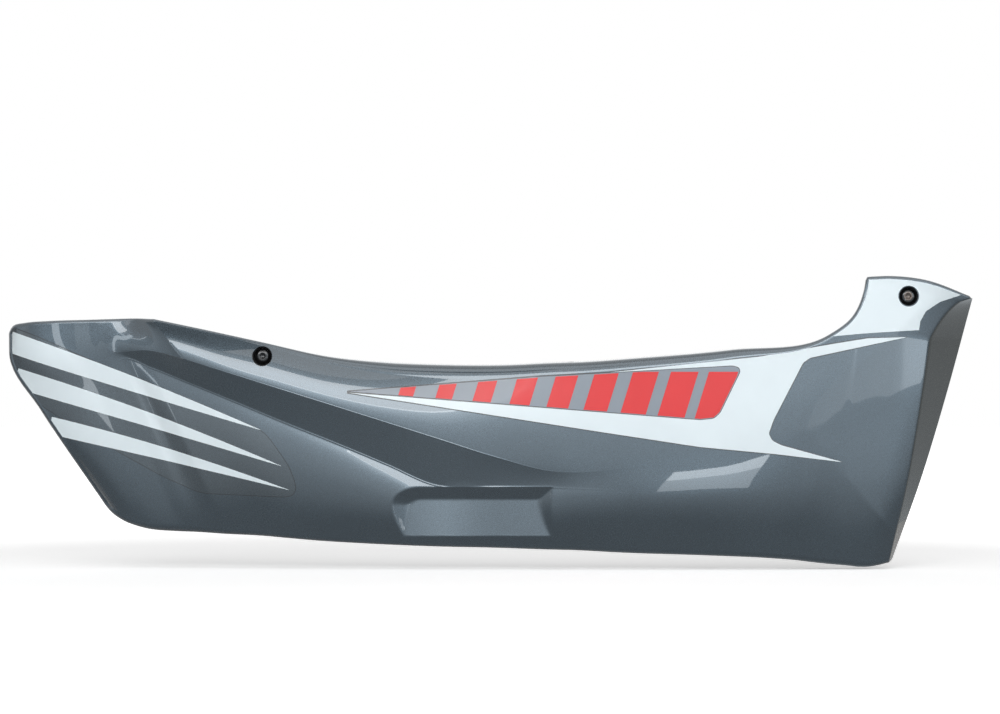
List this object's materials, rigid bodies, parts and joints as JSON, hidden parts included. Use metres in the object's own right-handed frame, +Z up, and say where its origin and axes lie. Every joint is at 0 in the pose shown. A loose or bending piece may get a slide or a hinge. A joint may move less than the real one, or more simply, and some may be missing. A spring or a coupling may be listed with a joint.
{
  "type": "belly pan",
  "caption": "Long painted side cover for a scooter's belly: stepped ledge, pocket, raised neck, rolled edges and screwed fixing wells.",
  "frame": {"origin": "on the front fixing screw's axis, where its threaded end leaves the back of the well's seat", "axes": "+X to the vehicle's front along the panel, +Y inwards along the screws (the painted face looks along -Y), +Z up as fitted"},
  "size_m": [0.7743, 0.0705, 0.2332],
  "materials": {
    "painted_shell": "gloss dark blue-grey metallic paint under clear coat",
    "dark_screw": "dark zinc with a trace of brown",
    "black_screw": "gloss black",
    "black_washer": "satin black",
    "clear_film": "clear film over the paint",
    "white_film": "gloss white vinyl",
    "grey_film": "gloss grey vinyl",
    "red_film": "gloss red vinyl"
  },
  "bodies": {
    "root": {"panel": "painted_shell", "front_screw": "dark_screw", "front_washer": "black_washer", "rear_screw": "black_screw", "rear_washer": "black_washer", "rear_film": "clear_film", "rear_stripe_upper": "white_film", "rear_stripe_middle": "white_film", "rear_stripe_lower": "white_film", "side_film": "grey_film", "wedge_decal": "white_film", "bar_decal": "red_film", "neck_decal": "white_film"}
  },
  "joints": []
}
